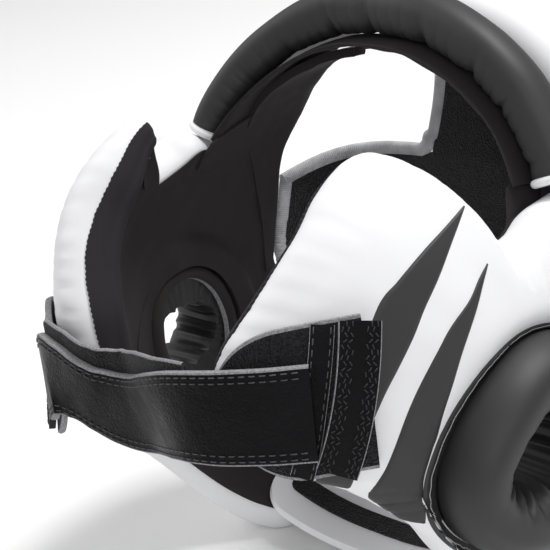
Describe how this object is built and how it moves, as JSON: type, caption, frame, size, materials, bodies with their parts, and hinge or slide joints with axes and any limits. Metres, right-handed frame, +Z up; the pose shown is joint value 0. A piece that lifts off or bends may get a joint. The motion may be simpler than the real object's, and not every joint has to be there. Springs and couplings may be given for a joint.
{
  "type": "boxing headgear",
  "caption": "Padded boxing headgear with cheek guards, ear rolls, a brow roll, a crown cross, a nape strap and a chin strap, lying on its back.",
  "frame": {"origin": "on the floor under the middle of the headgear's box, as it lies on its back", "axes": "+Z up, out of the face opening; +X to the wearer's left; +Y towards the crown"},
  "size_m": [0.2386, 0.217, 0.2249],
  "materials": {
    "white_leather": "satin grained white leather",
    "black_leather": "glossy grained black leather",
    "lining_suede": "matt suede cloth",
    "facing_mesh": "coarse mesh cloth",
    "loop_cloth": "brushed loop cloth"
  },
  "bodies": {
    "root": {"guard_left": "white_leather", "lining_left": "lining_suede", "facing_left": "facing_mesh", "ear_roll_left": "black_leather", "ear_rim_left": "black_leather", "piping_left": "white_leather", "chin_tab_left": "loop_cloth", "anchor_left": "black_leather", "guard_right": "white_leather", "lining_right": "lining_suede", "facing_right": "facing_mesh", "ear_roll_right": "black_leather", "ear_rim_right": "black_leather", "piping_right": "white_leather", "chin_tab_right": "loop_cloth", "anchor_right": "black_leather", "brow_roll": "black_leather", "brow_lining": "lining_suede", "forehead_pad": "white_leather", "chin_strap": "black_leather", "crown_band": "white_leather", "crown_band_panel": "loop_cloth", "crown_strap_front": "white_leather", "crown_strap_panel_front": "loop_cloth", "crown_strap_back": "white_leather", "crown_strap_panel_back": "loop_cloth", "nape_strap": "white_leather", "nape_stripe": "loop_cloth"}
  },
  "joints": []
}
